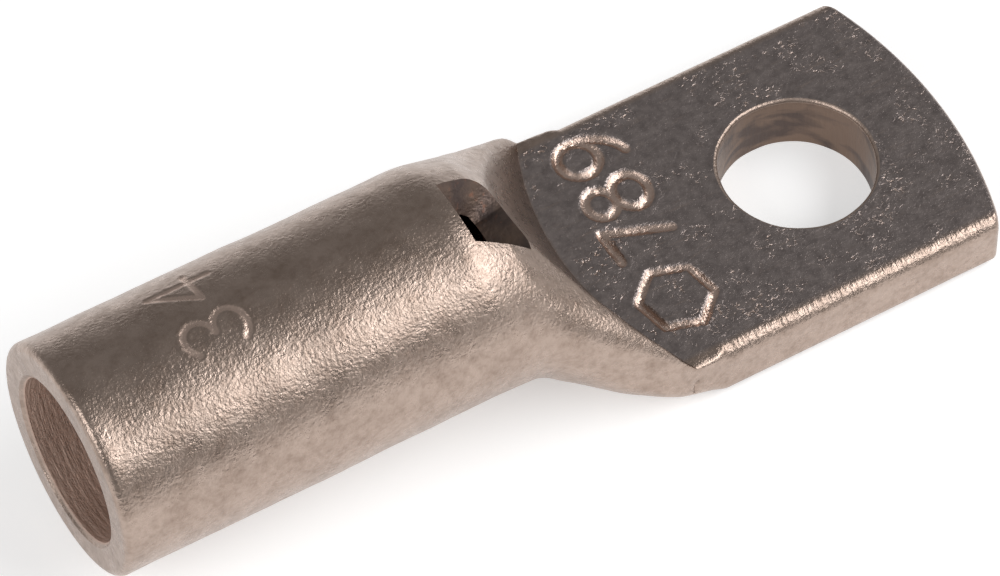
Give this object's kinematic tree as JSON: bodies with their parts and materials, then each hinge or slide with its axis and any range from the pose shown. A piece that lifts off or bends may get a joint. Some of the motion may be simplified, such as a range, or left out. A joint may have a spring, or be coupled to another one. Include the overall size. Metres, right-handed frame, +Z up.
{
  "type": "cable lug",
  "caption": "Tinned copper tube lug: a round barrel that takes a stranded conductor, pressed flat at one end into a palm with a stud hole and a rounded tip.",
  "frame": {"origin": "on the axis of the stud hole, at the palm's underside", "axes": "+X from the barrel to the tip, +Z up out of the palm's top face, along the stud"},
  "size_m": [0.0344, 0.0116, 0.0094],
  "materials": {
    "tinned_copper": "tin-plated copper, tumbled satin, darkened on the palm"
  },
  "bodies": {
    "root": {"cable_lug": "tinned_copper"}
  },
  "joints": []
}
